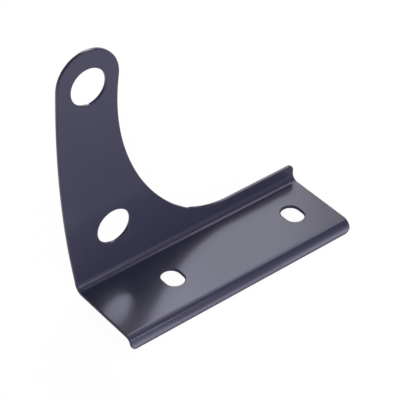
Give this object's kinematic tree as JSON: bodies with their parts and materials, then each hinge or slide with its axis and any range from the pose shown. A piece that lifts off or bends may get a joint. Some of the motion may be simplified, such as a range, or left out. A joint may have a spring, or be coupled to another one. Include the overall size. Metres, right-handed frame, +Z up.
{
  "type": "snow guard bracket",
  "caption": "Folded steel roof bracket: a screw-down base with slots and a turned-down lip, and a curved upright arm with round holes for snow guard tubes.",
  "frame": {"origin": "on the underside of the base, the face that lies on the roof, midway between the two slots' centres", "axes": "+X along the base, from the arm's end to the low flange's end; +Y across the base, from the turned-down lip to the back of the upright; +Z up, out of the roof"},
  "size_m": [0.2003, 0.0651, 0.1975],
  "materials": {
    "powder_coat": "satin powder coat, dark blue-grey"
  },
  "bodies": {
    "root": {"bracket": "powder_coat"}
  },
  "joints": []
}
